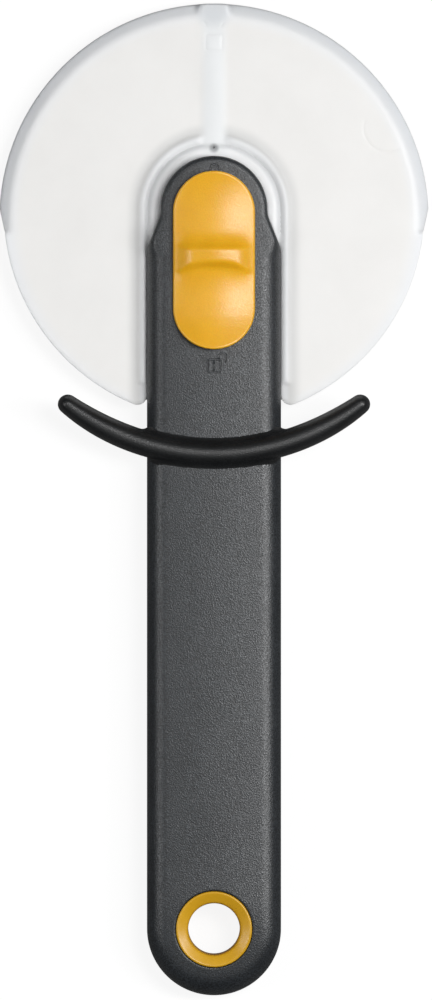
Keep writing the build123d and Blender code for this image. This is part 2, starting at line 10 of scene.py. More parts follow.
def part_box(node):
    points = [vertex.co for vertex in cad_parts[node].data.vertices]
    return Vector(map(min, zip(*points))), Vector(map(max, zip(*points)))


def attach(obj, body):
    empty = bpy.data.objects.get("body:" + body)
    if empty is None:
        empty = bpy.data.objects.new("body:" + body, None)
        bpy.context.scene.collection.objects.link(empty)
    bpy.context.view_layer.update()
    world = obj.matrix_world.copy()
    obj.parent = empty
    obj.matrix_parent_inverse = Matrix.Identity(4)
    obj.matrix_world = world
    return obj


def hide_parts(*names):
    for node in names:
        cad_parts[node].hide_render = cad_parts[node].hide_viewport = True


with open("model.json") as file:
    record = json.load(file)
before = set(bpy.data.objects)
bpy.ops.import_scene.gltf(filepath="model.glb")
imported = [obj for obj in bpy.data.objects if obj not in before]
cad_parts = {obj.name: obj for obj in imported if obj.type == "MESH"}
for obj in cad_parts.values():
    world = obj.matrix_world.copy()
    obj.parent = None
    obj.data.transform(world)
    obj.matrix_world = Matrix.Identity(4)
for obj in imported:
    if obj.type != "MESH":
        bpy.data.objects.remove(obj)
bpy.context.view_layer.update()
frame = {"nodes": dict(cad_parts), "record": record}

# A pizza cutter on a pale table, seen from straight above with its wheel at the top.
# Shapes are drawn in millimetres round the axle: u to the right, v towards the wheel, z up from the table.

MM = 0.001


def box_mm(node):
    """Lowest and highest corner of a CAD node in millimetres."""
    low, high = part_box(node)
    return low / MM, high / MM


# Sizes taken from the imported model
pin_low, pin_high = box_mm("axle_pin")
shell_low, shell_high = box_mm("handle_front_shell")
guard_high = box_mm("blade_guard")[1]
button_low, button_high = box_mm("release_button")
bar_low, bar_high = box_mm("finger_guard")
AXLE_Y = (pin_low.y + pin_high.y) / 2
GRIP_HALF = shell_high.x
FACE_Z = shell_high.z
HEAD_TOP = shell_high.y - AXLE_Y
GUARD_RADIUS = guard_high.y - AXLE_Y

# Handle outline and crown; the neck is where the grip narrows to the head
NECK_STEP = 3.2
NECK_TOP = 0.75
NECK_LOW = -7.25
NECK_ROUND = 6.0
EDGE_ROUND = 4.5
CROWN_RADIUS = 170.0
HEAD_RADIUS = GRIP_HALF - NECK_STEP
HEAD_RISE = HEAD_TOP - HEAD_RADIUS

# Guard: where the tones of its rib and its tab start, and its drain hole
RIB_FOOT = 16.5
TAB_V = 48.5
DRAIN_V = 16.3


# Outlines

# Usual spacing of an outline's points
STEP = 0.5
# Share of a sheet's spacing round its kept points where it gets no grid point
CLEAR_SHARE = 0.6
# Points nearer than this are one point, and nearer than this to the middle line lie on it
SAME_POINT = 1e-7
ON_MIDDLE = 1e-6


def arc(centre, radius, start, end, step=STEP):
    """Points along an arc between two angles in degrees."""
    count = max(2, round(radius * radians(abs(end - start)) / step) + 1)
    turns = [radians(start + (end - start) * i / (count - 1)) for i in range(count)]
    return [Vector((centre[0] + radius * cos(t), centre[1] + radius * sin(t))) for t in turns]


def line(start, end, step=STEP):
    """Points along a straight line, without its last one."""
    start, end = Vector(start), Vector(end)
    count = max(1, round((end - start).length / step))
    return [start.lerp(end, i / count) for i in range(count)]


def rounded(corners, radius, step=STEP):
    """Points along a path of straight runs whose inner corners are rounded; radius may be a list."""
    corners = [Vector(c) for c in corners]
    inner = len(corners) - 2
    radii = radius if isinstance(radius, list) else [radius] * inner
    path, last = [], corners[0]
    for before, corner, after, r in zip(corners, corners[1:], corners[2:], radii):
        to_before, to_after = (before - corner).normalized(), (after - corner).normalized()
        half = to_before.angle(to_after) / 2
        reach = r / (sin(half) / cos(half))
        start, end = corner + to_before * reach, corner + to_after * reach
        centre = corner + (to_before + to_after).normalized() * (r / sin(half))
        first = atan2(start.y - centre.y, start.x - centre.x)
        turn = (atan2(end.y - centre.y, end.x - centre.x) - first + pi) % (2 * pi) - pi
        path += line(last, start, step)
        path += arc(centre, r, degrees(first), degrees(first + turn), step)[:-1]
        last = end
    return path + line(last, corners[-1], step) + [corners[-1]]


def closed_by_mirror(right):
    """A loop from a path on the right and its mirror image; ends on the middle line aren't doubled."""
    left = [Vector((-p.x, p.y)) for p in reversed(right) if p.x > ON_MIDDLE]
    return right + left


def inward(loop, inset):
    """The loop moved to its left side by the inset."""
    moved = []
    for before, point, after in zip(loop[-1:] + loop[:-1], loop, loop[1:] + loop[:1]):
        along = (after - before).normalized()
        moved.append(point + Vector((-along.y, along.x)) * inset)
    return moved


def beside(path, off):
    """The path moved to its left side by off; to its right where off is negative."""
    moved = []
    for before, point, after in zip(path[:1] + path[:-1], path, path[1:] + path[-1:]):
        along = (after - before).normalized()
        moved.append(point + Vector((-along.y, along.x)) * off)
    return moved


def tile(outline, spacing, insets=(), rows=(), holes=()):
    """Fills a closed outline with triangles; rows are lines of points to keep.

    Returns the points, each point's inset from the outline, which is None away from it, each point's row
    number or None, and the triangles.
    """
    loops = [outline, *holes]
    points, inset_of, row_of, owners = [], [], [], []
    for loop in loops:
        owners.append(list(range(len(points), len(points) + len(loop))))
        points += loop
    inset_of += [0.0] * len(points)
    row_of += [None] * len(points)
    for inset in insets:
        for loop in loops:
            ring = inward(loop if loop is outline else loop[::-1], inset)
            points += ring
            inset_of += [inset] * len(ring)
            row_of += [None] * len(ring)
    for number, row in enumerate(rows):
        points += row
        inset_of += [None] * len(row)
        row_of += [number] * len(row)
    tree = KDTree(len(points))
    for i, p in enumerate(points):
        tree.insert((p.x, p.y, 0), i)
    tree.balance()
    lows = [min(p[i] for p in outline) for i in (0, 1)]
    highs = [max(p[i] for p in outline) for i in (0, 1)]
    rise = spacing * sqrt(3) / 2
    for j in range(int((highs[1] - lows[1]) / rise) + 1):
        for i in range(int((highs[0] - lows[0]) / spacing) + 1):
            p = Vector((lows[0] + (i + j % 2 / 2) * spacing, lows[1] + j * rise))
            if tree.find((p.x, p.y, 0))[2] > CLEAR_SHARE * spacing:
                points.append(p)
                inset_of.append(None)
                row_of.append(None)
    places, _, faces, sources, _, face_owners = delaunay_2d_cdt(points, [], owners, 1, SAME_POINT)
    kept = [f for f, own in zip(faces, face_owners) if own == [0]]
    used = sorted({i for f in kept for i in f})
    number = {i: n for n, i in enumerate(used)}
    first = [sources[i][0] if sources[i] else None for i in used]
    insets_out = [inset_of[i] if i is not None else None for i in first]
    rows_out = [row_of[i] if i is not None else None for i in first]
    return [places[i] for i in used], insets_out, rows_out, [[number[i] for i in f] for f in kept]


# Meshes


def make_piece(name, points, faces, body, material, replaces=(), sharp=40):
    """A smooth-shaded piece from points in millimetres round the axle, riding on a body."""
    mesh = bpy.data.meshes.new(name)
    mesh.from_pydata([(u * MM, (AXLE_Y + v) * MM, z * MM) for u, v, z in points], [], faces)
    mesh.validate()
    mesh.shade_smooth()
    mesh.set_sharp_from_angle(angle=radians(sharp))
    mesh.materials.append(material)
    piece = bpy.data.objects.new(name, mesh)
    bpy.context.scene.collection.objects.link(piece)
    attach(piece, body)
    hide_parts(*replaces)
    return piece


def joined(*shapes):
    """Several (points, faces) shapes as one."""
    points, faces = [], []
    for more_points, more_faces in shapes:
        start = len(points)
        points += more_points
        faces += [[start + i for i in f] for f in more_faces]
    return points, faces


def between_skins(outer, inner, triangles, open_edge=None):
    """A closed shell from two skins that share their triangles. Edges that open_edge accepts stay open."""
    count = len(outer)
    faces = [list(t) for t in triangles] + [[count + i for i in reversed(t)] for t in triangles]
    seen = set()
    for a, b, c in triangles:
        seen |= {(a, b), (b, c), (c, a)}
    for a, b in seen:
        if (b, a) not in seen and not (open_edge and open_edge(a, b)):
            faces.append([b, a, count + a, count + b])
    return list(outer) + list(inner), faces


def smooth_step(value, low, high):
    """0 below low, 1 above high and a soft rise between."""
    t = min(1.0, max(0.0, (value - low) / (high - low)))
    return t * t * (3 - 2 * t)


def round_drop(inset, radius):
    """How far a rounded edge lies below its face at an inset from the outline."""
    return 0.0 if inset is None or inset >= radius else radius - sqrt(radius**2 - (radius - inset) ** 2)


# Materials


def linear(code):
    """An sRGB hex colour as linear RGBA."""
    parts = [int(code[i : i + 2], 16) / 255 for i in (1, 3, 5)]
    return [p / 12.92 if p <= 0.04045 else ((p + 0.055) / 1.055) ** 2.4 for p in parts] + [1.0]


def add_node(tree, kind, inputs=None, **settings):
    """A shader node with its settings; inputs holds values or other nodes' outputs by socket."""
    made = tree.nodes.new("ShaderNode" + kind)
    for name, value in settings.items():
        setattr(made, name, value)
    for socket, value in (inputs or {}).items():
        if isinstance(value, bpy.types.NodeSocket):
            tree.links.new(value, made.inputs[socket])
        else:
            made.inputs[socket].default_value = value
    return made


def per_size(size_mm):
    """Texture scale that gives a pattern of this size."""
    return 1 / (size_mm * MM)


# The part of each noise's values that is stretched over the whole change
PATCH_SPAN = {"From Min": 0.35, "From Max": 0.65}
GRAIN_SPAN = {"From Min": 0.4, "From Max": 0.6}
MARK_SPAN = {"From Min": 0.3, "From Max": 0.7}
# How much longer than wide the streaks of a rolled metal are, as texture scales
STREAK_SCALE = (1.0, 0.08, 1.0)
# Depth in millimetres of the marks in worked metal
TOOL_MARK_DEPTH = 0.002


def moulded(name, shades, patch_mm, grain_mm, dull, relief_mm, values, speckle=(1.0, 1.0)):
    """A moulded plastic, its colour wandering between two shades in wide patches, its gloss broken by grain.

    dull holds the roughness in the grain's valleys and on its peaks, relief_mm is the grain's depth, and
    speckle is how far the grain darkens and brightens the colour. Real grain is often finer than 0.3 mm, and
    is then drawn that coarse, so that it shows. Returns the material, its nodes, its shader, and the sockets
    of the place and the colour.
    """
    made = bpy.data.materials.new(name)
    made.use_nodes = True
    tree = made.node_tree
    shader = tree.nodes["Principled BSDF"]
    for socket, value in values.items():
        shader.inputs[socket].default_value = value
    place = add_node(tree, "TexCoord").outputs["Object"]
    patches = add_node(tree, "TexNoise", {"Vector": place, "Scale": per_size(patch_mm), "Detail": 3.0})
    share = add_node(tree, "MapRange", {"Value": patches.outputs["Fac"], **PATCH_SPAN})
    shade_inputs = {0: share.outputs["Result"], 6: linear(shades[0]), 7: linear(shades[1])}
    shade = add_node(tree, "Mix", shade_inputs, data_type="RGBA")
    pebbles = {"Vector": place, "Scale": per_size(grain_mm), "Detail": 2.0}
    grain = add_node(tree, "TexNoise", pebbles).outputs["Fac"]
    specks = {"Value": grain, **GRAIN_SPAN, "To Min": speckle[0], "To Max": speckle[1]}
    speck = add_node(tree, "MapRange", specks)
    speck_inputs = {0: 1.0, 6: shade.outputs[2], 7: speck.outputs["Result"]}
    colour = add_node(tree, "Mix", speck_inputs, data_type="RGBA", blend_type="MULTIPLY").outputs[2]
    tree.links.new(colour, shader.inputs["Base Color"])
    gloss = {"Value": grain, **GRAIN_SPAN, "To Min": dull[0], "To Max": dull[1]}
    tree.links.new(add_node(tree, "MapRange", gloss).outputs["Result"], shader.inputs["Roughness"])
    bump = add_node(tree, "Bump", {"Height": grain, "Distance": relief_mm * MM})
    tree.links.new(bump.outputs["Normal"], shader.inputs["Normal"])
    return made, tree, shader, place, colour


# Tints of the guard and painted light and shade on it, each over those before it. A tone lies round a point
# at v on the middle line and runs on as a band from there, down where way is -1, up where it is 1 and not at
# all where it is 0. It holds v, way, the distance at which it is full, the one at which it has ended, and its
# colour.
GUARD_TINTS_AND_PAINTED_LIGHT = [
    # The thick rim
    (0.0, 0, 50.0, 44.0, "#eceff3"),
    # Outside of the ridge's foot, the ridge and the channel beside it: partly grey where the arm shows
    # through, and partly painted shade of their flanks. The collar: painted light that brightens it where the
    # head's shadow falls
    (HEAD_RISE, -1, 17.9, 20.8, "#dcdcdb"),
    (HEAD_RISE, -1, 16.8, 17.7, "#e4e5e6"),
    (HEAD_RISE, -1, 15.3, 16.4, "#e2e3e4"),
    (HEAD_RISE, -1, 14.2, 15.2, "#f6f8fa"),
    # The rib, the tab at its end, and painted shade of a dimple round the drain hole
    (RIB_FOOT, 1, 1.2, 4.0, "#ebedee"),
    (TAB_V, 1, 1.5, 5.5, "#d8dbde"),
    (DRAIN_V, 0, 0.5, 1.5, "#a9abad"),
]


def frosted_polypropylene():
    """Clear polypropylene with a frosted moulding finish: milky white, and light spreads inside its wall.

    It is greyer where the handle's arm shows through, and cool where it is thick, at the rim and the rib.
    Painted shade darkens the ridge's flanks, the channel beside it and the drain hole, and painted light
    brightens the collar round the head, where the head's shadow falls.
    """
    values = {
        "IOR": 1.49,
        "Transmission Weight": 0.1,
        "Subsurface Weight": 0.8,
        "Subsurface Radius": (1.0, 1.0, 1.0),
        "Subsurface Scale": 1.4 * MM,
    }
    made, tree, shader, place, colour = moulded(
        "frosted_polypropylene", ("#edecea", "#f0efed"), 14.0, 0.5, (0.42, 0.54), 0.002, values
    )
    # Each tone is a tint of the plastic, painted shade or painted light
    for centre_v, way, full, none, tint in GUARD_TINTS_AND_PAINTED_LIGHT:
        middle = (0.0, -(AXLE_Y + centre_v) * MM, 0.0)
        outward = add_node(tree, "VectorMath", {0: place, 1: middle}).outputs["Vector"]
        if way:
            # The side towards which the band runs counts as level with the point
            held = {0: outward, 1: (float(way), 0.0, float(way))}
            keep = "MAXIMUM" if way < 0 else "MINIMUM"
            outward = add_node(tree, "VectorMath", held, operation=keep).outputs["Vector"]
        level = {0: outward, 1: (1.0, 1.0, 0.0)}
        flat = add_node(tree, "VectorMath", level, operation="MULTIPLY").outputs["Vector"]
        reach = add_node(tree, "VectorMath", {0: flat}, operation="LENGTH").outputs["Value"]
        step = {"Value": reach, "From Min": none * MM, "From Max": full * MM}
        share = add_node(tree, "MapRange", step, interpolation_type="SMOOTHSTEP").outputs["Result"]
        tones = {0: share, 6: colour, 7: linear(tint)}
        colour = add_node(tree, "Mix", tones, data_type="RGBA").outputs[2]
    tree.links.new(colour, shader.inputs["Base Color"])
    return made


def worked_metal(name, shades, dull, mark_mm, turned):
    """A metal with fine marks mark_mm apart: rings round the axle where it is turned, else streaks along v.

    The real marks are finer than 0.1 mm. They are drawn as coarse as they need to show.
    """
    made = bpy.data.materials.new(name)
    made.use_nodes = True
    tree = made.node_tree
    shader = tree.nodes["Principled BSDF"]
    shader.inputs["Metallic"].default_value = 1.0
    place = add_node(tree, "TexCoord").outputs["Object"]
    if turned:
        outward = add_node(tree, "VectorMath", {0: place, 1: (0.0, -AXLE_Y * MM, 0.0)}).outputs["Vector"]
        level = {0: outward, 1: (1.0, 1.0, 0.0)}
        flat = add_node(tree, "VectorMath", level, operation="MULTIPLY").outputs["Vector"]
        reach = add_node(tree, "VectorMath", {0: flat}, operation="LENGTH").outputs["Value"]
        rings = add_node(tree, "Math", {0: reach, 1: per_size(mark_mm)}, operation="MULTIPLY").outputs[0]
        marks_at, scale = add_node(tree, "CombineXYZ", {0: rings}).outputs[0], 1.0
    else:
        marks_at = add_node(tree, "Mapping", {"Vector": place, "Scale": STREAK_SCALE}).outputs["Vector"]
        scale = per_size(mark_mm)
    marks = add_node(tree, "TexNoise", {"Vector": marks_at, "Scale": scale, "Detail": 4.0}).outputs["Fac"]
    colour = add_node(tree, "Mix", {0: marks, 6: linear(shades[0]), 7: linear(shades[1])}, data_type="RGBA")
    tree.links.new(colour.outputs[2], shader.inputs["Base Color"])
    gloss = {"Value": marks, **MARK_SPAN, "To Min": dull[0], "To Max": dull[1]}
    tree.links.new(add_node(tree, "MapRange", gloss).outputs["Result"], shader.inputs["Roughness"])
    bump = add_node(tree, "Bump", {"Height": marks, "Distance": TOOL_MARK_DEPTH * MM})
    tree.links.new(bump.outputs["Normal"], shader.inputs["Normal"])
    return made


# Acetal lets a little light through, red further than green and blue
ACETAL = {
    "IOR": 1.48,
    "Subsurface Weight": 0.25,
    "Subsurface Radius": (1.0, 0.45, 0.1),
    "Subsurface Scale": 1.4 * MM,
}

MATERIALS = {
    # Glass-filled polyamide from a spark-eroded mould: dark grey, half dull, with a fine pebble grain
    "handle": moulded(
        "grained_polyamide", ("#212427", "#272a2d"), 9.0, 0.32, (0.46, 0.32), 0.09, {"IOR": 1.53}, (0.4, 1.6)
    )[0],
    # Thermoplastic elastomer from a smoother mould: black, with clear highlights along its crest
    "finger_guard": moulded(
        "smooth_elastomer", ("#151617", "#1a1b1c"), 7.0, 0.32, (0.42, 0.33), 0.07, {"IOR": 1.5}, (0.6, 1.4)
    )[0],
    # Acetal from a finely etched mould: warm orange, satin, its grain just visible where the light grazes
    "button": moulded(
        "satin_acetal", ("#dda31b", "#e2a820"), 6.0, 0.32, (0.35, 0.29), 0.03, ACETAL, (0.97, 1.03)
    )[0],
    # Polypropylene from a polished mould: deep orange-yellow, glossy, slightly waxy
    "ring": moulded(
        "gloss_polypropylene", ("#c6961c", "#cd9d23"), 4.0, 0.6, (0.35, 0.31), 0.002, {"IOR": 1.49}
    )[0],
    "blade_guard": frosted_polypropylene(),
    # Black acetal, turned smooth: near black with a faint sheen
    "hub": moulded(
        "turned_acetal", ("#2a2a2b", "#303031"), 5.0, 0.4, (0.5, 0.4), 0.008, {"IOR": 1.48}, (0.8, 1.2)
    )[0],
    # Ground blade steel: bright rings round the axle
    "blade_steel": worked_metal("ground_blade_steel", ("#b9bcc0", "#d3d5d8"), (0.24, 0.36), 0.35, True),
    # Turned stainless steel: finer rings, a little darker
    "steel": worked_metal("turned_stainless_steel", ("#a9abae", "#c4c6c8"), (0.28, 0.42), 0.25, True),
    # Blued spring steel: dark blue-grey strip
    "spring_steel": worked_metal("blued_spring_steel", ("#4d5666", "#6a7383"), (0.3, 0.42), 0.4, False),
    # Zinc-plated screws and rivets: bright, slightly cloudy
    "screw_steel": worked_metal("zinc_plated_steel", ("#b4b8bc", "#d0d3d4"), (0.2, 0.34), 0.6, False),
    # Bearing bronze: warm and dull
    "bearing": worked_metal("bearing_bronze", ("#a67c46", "#bd9358"), (0.3, 0.44), 0.5, False),
}

for part in frame["record"]["subparts"]:
    for holder in frame["nodes"][part["node"]].material_slots:
        holder.material = MATERIALS[part["material_slot"]]


# Front of the handle

SPLIT_Z = shell_low.z
END_V = shell_low.y - AXLE_Y
RING_V = END_V + GRIP_HALF
# The edge is rounded less at the head and changes over these v
HEAD_EDGE = 1.1
EDGE_CHANGE = (-10.0, -4.0)
END_FALL_START = -158.0
END_FALL_RADIUS = 95.0
GRIP_SPACING = 0.6
# Insets of the points on the rounded edge, as shares of its radius
EDGE_SHARES = (0.01, 0.04, 0.09, 0.16, 0.25)
GRIP_SHARP = 50
RING_SEAT = 8.95
RING_EDGE = 0.3
# Slot for the button's tenon: half width, lowest and highest v
TENON_SLOT = (3.1, -27.7, -6.4)
SLOT_STEP = 0.8
# Recess of the lock cover: its wall, lowest v and ceiling
COVER_SIDE = 1.65
COVER_LOW = -36.95
COVER_Z = 7.75
# Lock chamber: half width, lowest and highest v and ceiling
CHAMBER = (8.6, -31.0, 11.4, 9.95)
# Pocket of the pin: radius and ceiling
PIN_POCKET = (5.7, 12.5)
# Hollow of the grip: its wall, then its lowest and highest v and its ceiling
GRIP_WALL = 2.6
GRIP_CAVITY = (-154.0, -60.0, 11.4)
# Engraved lines: half width of their floor, half width at their top, and depth; the first rows are the floor
MARK_SIDE = 0.13
MARK_WALL = 0.26
MARK_DEPTH = 0.32
MARK_OFFSETS = (0.0, MARK_SIDE, -MARK_SIDE, MARK_WALL, -MARK_WALL)
MARK_FLOOR_ROWS = 3
MARK_STEP = 0.2
# Padlocks: body of the open one, centres of both shackles, and how far their legs reach
LOCK_HALF = 1.45
LOCK_V = -34.45
LOCK_ROUND = 0.3
OPEN_SHACKLE = (1.95, -32.3)
CLOSED_SHACKLE = (0.1, 11.5)
SHACKLE_RADIUS = 0.85
SHACKLE_GAP = 0.35
OPEN_LEG = 1.2
CLOSED_LEG = 1.0
KEYHOLE_TOP = 0.55
KEYHOLE_LOW = 0.65


def crown_drop(u):
    """How far the handle's crowned face lies below its middle."""
    return CROWN_RADIUS - sqrt(CROWN_RADIUS**2 - u * u)


def end_fall(v):
    """How far the face has fallen towards the ring's end."""
    past = max(0.0, END_FALL_START - v)
    return past * past / (2 * END_FALL_RADIUS)


def edge_round(v):
    """Radius of the handle's edge: small at the head and full along the grip."""
    return EDGE_ROUND + (HEAD_EDGE - EDGE_ROUND) * smooth_step(v, *EDGE_CHANGE)


def handle_outline():
    """The handle's outline, counter-clockwise from its end."""
    right = arc((0, RING_V), GRIP_HALF, -90, 0)[:-1]
    corners = [(GRIP_HALF, RING_V), (GRIP_HALF, NECK_LOW), (HEAD_RADIUS, NECK_TOP), (HEAD_RADIUS, HEAD_RISE)]
    right += rounded(corners, NECK_ROUND)[:-1]
    right += arc((0, HEAD_RISE), HEAD_RADIUS, 0, 90)
    return closed_by_mirror(right)


def shackle_line(centre, left_foot_v, leg):
    """Middle line of a padlock's shackle: up from its left foot, over its arc and down its right leg."""
    u, v = centre
    left, right = u - SHACKLE_RADIUS, u + SHACKLE_RADIUS
    path = line((left, left_foot_v), (left, v), MARK_STEP)
    path += arc(centre, SHACKLE_RADIUS, 180, 0, MARK_STEP)
    return path + line((right, v - MARK_STEP), (right, v - leg), MARK_STEP)


def padlock_lines():
    """Middle lines of the two engraved padlocks; of the closed one only the shackle shows past the button."""
    side, low, high = LOCK_HALF, LOCK_V - LOCK_HALF, LOCK_V + LOCK_HALF
    corners = [(0, low), (side, low), (side, high), (-side, high), (-side, low), (0, low)]
    body = rounded(corners, LOCK_ROUND, MARK_STEP)
    keyhole = line((0, LOCK_V + KEYHOLE_TOP), (0, LOCK_V - KEYHOLE_LOW), MARK_STEP)
    opened = shackle_line(OPEN_SHACKLE, high + SHACKLE_GAP, OPEN_LEG)
    closed = shackle_line(CLOSED_SHACKLE, CLOSED_SHACKLE[1] - CLOSED_LEG, CLOSED_LEG)
    return [body, opened, keyhole, closed]


def pocket_z(u, v, to_edge):
    """Height of the front shell's underside with its pockets for the pin, the lock and its cover."""
    if hypot(u, v) < PIN_POCKET[0]:
        return PIN_POCKET[1]
    if abs(u) < CHAMBER[0] and CHAMBER[1] < v < CHAMBER[2]:
        return CHAMBER[3]
    if to_edge > COVER_SIDE and v > COVER_LOW:
        return COVER_Z
    if to_edge > GRIP_WALL and GRIP_CAVITY[0] < v < GRIP_CAVITY[1]:
        return GRIP_CAVITY[2]
    return SPLIT_Z


def make_front_shell():
    """The front of the handle: crowned face, rounded edges, engraved padlocks, and its hollows below."""
    outline = handle_outline()
    half, low, high = TENON_SLOT
    slot = [Vector(c) for c in ((-half, low), (half, low), (half, high), (-half, high))]
    slot = [p for a, b in zip(slot, slot[1:] + slot[:1]) for p in line(a, b, SLOT_STEP)]
    seat = arc((0, RING_V), RING_SEAT, 0, 360)[:-1]
    rows = [beside(path, off) for path in padlock_lines() for off in MARK_OFFSETS]
    insets = [EDGE_ROUND * s for s in EDGE_SHARES]
    points, inset_of, row_of, triangles = tile(outline, GRIP_SPACING, insets, rows, [seat, slot])
    # The outline's points and the middles between them, to find how far a point is from the edge
    doubled = [p for a, b in zip(outline, outline[1:] + outline[:1]) for p in (a, (a + b) / 2)]
    edge = KDTree(len(doubled))
    for i, p in enumerate(doubled):
        edge.insert((p.x, p.y, 0), i)
    edge.balance()
    top, bottom = [], []
    for p, inset, row in zip(points, inset_of, row_of):
        to_edge = edge.find((p.x, p.y, 0))[2]
        to_seat = hypot(p.x, p.y - RING_V) - RING_SEAT
        from_outline = inset if inset is not None and to_seat > EDGE_ROUND else to_edge
        drop = crown_drop(p.x) + end_fall(p.y) + round_drop(from_outline, edge_round(p.y))
        drop += round_drop(max(0.0, to_seat), RING_EDGE)
        if row is not None and row % len(MARK_OFFSETS) < MARK_FLOOR_ROWS:
            drop += MARK_DEPTH
        top.append((p.x, p.y, FACE_Z - drop))
        bottom.append((p.x, p.y, pocket_z(p.x, p.y, to_edge)))
    points, faces = between_skins(top, bottom, triangles)
    grained = MATERIALS["handle"]
    return make_piece(
        "grip_front", points, faces, "handle", grained, ["handle_front_shell"], GRIP_SHARP
    )


make_front_shell()


# Hanging ring

RING_RADIUS = 8.85
RING_HOLE = 6.0
RING_FRONT = 14.15
RING_SIDES = 144
RING_SHARP = 60
# Half of the ring's section: distance from its axis and depth below its front, from the rim over the funnel
RING_SECTION = [
    (RING_RADIUS, 2.0), (RING_RADIUS, 0.35), (8.8, 0.17), (8.7, 0.06), (8.55, 0.0), (8.4, 0.02), (8.25, 0.09),
    (7.6, 0.46), (6.95, 0.84), (6.5, 1.1), (6.3, 1.26), (6.15, 1.5), (6.05, 1.85), (RING_HOLE, 2.4),
    (RING_HOLE, 3.2),
]


def make_ring():
    """The coloured eyelet: two funnels back to back, its front rim lying on the falling face."""
    # Each point of the section: distance from the axis, height, and 1 where it follows the handle's face
    section = [(r, RING_FRONT - d, 1.0) for r, d in RING_SECTION]
    section += [(r, d, 0.0) for r, d in reversed(RING_SECTION)]
    points, faces = [], []
    for k in range(RING_SIDES):
        turn = 2 * pi * k / RING_SIDES
        for r, z, follows in section:
            u, v = r * sin(turn), RING_V + r * cos(turn)
            points.append((u, v, z - follows * (end_fall(v) + crown_drop(u))))
    count = len(section)
    for k in range(RING_SIDES):
        n = (k + 1) % RING_SIDES
        for i in range(count):
            j = (i + 1) % count
            faces.append([k * count + i, k * count + j, n * count + j, n * count + i])
    glossy = MATERIALS["ring"]
    return make_piece("eyelet", points, faces, "handle", glossy, ["hanging_ring"], RING_SHARP)


make_ring()


# Blade guard

GUARD_DEPTH = 8.0
WALL = 1.2
SEAM_Z = GUARD_DEPTH / 2
# The rim's section from the flat face down to the seam, as (length, radius) runs; 0 is straight
RIM_SLOPE = radians(37)
RIM_BEND = 2.6
RIM_FLANK = 2.3
RIM_CORNER = 0.5
RIM_WIDTH = RIM_BEND * sin(RIM_SLOPE) + RIM_FLANK * cos(RIM_SLOPE) + RIM_CORNER * (1 - sin(RIM_SLOPE))
RIM_FALL = RIM_BEND * (1 - cos(RIM_SLOPE)) + RIM_FLANK * sin(RIM_SLOPE) + RIM_CORNER * cos(RIM_SLOPE)
RIM_RUNS = [
    (RIM_BEND * RIM_SLOPE, RIM_BEND),
    (RIM_FLANK, 0),
    (RIM_CORNER * (pi / 2 - RIM_SLOPE), RIM_CORNER),
    (GUARD_DEPTH - SEAM_Z - RIM_FALL, 0),
]
# The same at the tab, whose top stays flat
TAB_ROUND = 0.5
TAB_RUNS = [
    (RIM_WIDTH - TAB_ROUND, 0),
    (TAB_ROUND * pi / 2, TAB_ROUND),
    (GUARD_DEPTH - SEAM_Z - TAB_ROUND, 0),
]
# How far the flat face and the unrolled sheet reach from the axle
FLAT_REACH = GUARD_RADIUS - RIM_WIDTH
SEAM_REACH = FLAT_REACH + sum(length for length, _ in RIM_RUNS)
# Halvings that find a point's place on the unrolled sheet
HALVINGS = 30
# The rim's end: its v at the seam and on the front wall, and the v over which each half bends into the rim
RIM_CUT_TOP = 2.3
RIM_CUT_LOW = -3.3
FRONT_DRAPE = (-3.9, -2.7)
BACK_DRAPE = (-0.7, 2.2)
# Legs: radius and rise of their arc's centre
FRONT_LEG = (49.0, 2.0)
BACK_LEG = (48.75, 2.3)
BACK_LOW = -42.2
LEG_CORNER = 2.2
BACK_SLOT_HALF = 11.8
# Gap between the slot and the handle's arm
SLIDE_GAP = 0.03
# Rounding of the guard's free edges, and the insets of the points on it as shares of its radius
GUARD_EDGE = 0.12
GUARD_EDGE_SHARES = (0.05, 0.2, 0.5, 1.0)
GUARD_SPACING = 0.6
BACK_SPACING = 1.2
# Points this near the seam belong to it, and points this far past the flat face belong to the rim
AT_SEAM = 0.01
PAST_FLAT = 0.5
# The ridge round the slot: distance of its crest from the slot's middle line, half width, height, lower end
# and half the length over which it ends; a larger power makes a hump narrower
BEAD_REACH = 16.65
BEAD_HALF = 1.25
BEAD_HEIGHT = 0.55
BEAD_LOW = -38.4
BEAD_END = 0.5
BEAD_POWER = 1.6
# Distances from the middle line between which the ridge gives way to the rib
RIB_SIDES = (2.4, 4.2)
# The collar round the head, which ends between two v beside the neck
COLLAR_REACH = 13.9
COLLAR_HALF = 1.5
COLLAR_HEIGHT = 1.1
COLLAR_LOW = (-8.0, -2.0)
COLLAR_POWER = 1.4
# The ridge's soft apron
APRON = 0.1
APRON_REACH = 2.6
APRON_POWER = 2
# The rib up the middle, with the lengths over which its ends fade
RIB_HALF = 3.4
RIB_HEIGHT = 0.2
RIB_LOW = 17.5
RIB_TOP = 44.0
RIB_LOW_FADE = 2.5
RIB_TOP_FADE = 3
RIB_POWER = 1.5
# The drain hole, a drop with its tip up, and the clear ring round it
DRAIN_RADIUS = 0.2
DRAIN_TIP = 0.55
DRAIN_CLEAR = 1.5
DRAIN_STEP = 0.15
# Lines of points that follow the collar and the ridge
FORM_START = 0.5
FORM_SPACING = 0.42
FORM_PAST = 1
# Scored lines: half width, depth, rows of points in each, and spacing of the points
SCORE_HALF = 0.16
SCORE_DEPTH = 0.05
SCORE_ROWS = 3
SCORE_STEP = 0.3
# The square mark near the rib's top, and the round one of an ejector pin, with its ends in degrees
GATE_MARK = 3.8
GATE_MARK_V = 41.0
EJECTOR_PLACE = (40.2, 20.9)
EJECTOR_RADIUS = 5.35
EJECTOR_ENDS = (165, 300)
EJECTOR_STEP = 0.4
# The tab at the rim: half widths outside and at its foot, where its scored sides start and end, and the
# distances from the middle between which its flat top gives way to the rim
TAB_OUTER = 3.4
TAB_INNER = 1.75
TAB_LOW = 44.8
TAB_SCORE_END = (2.4, FLAT_REACH - 0.6)
TAB_FADE = (TAB_OUTER - 0.7, TAB_OUTER + 1.2)


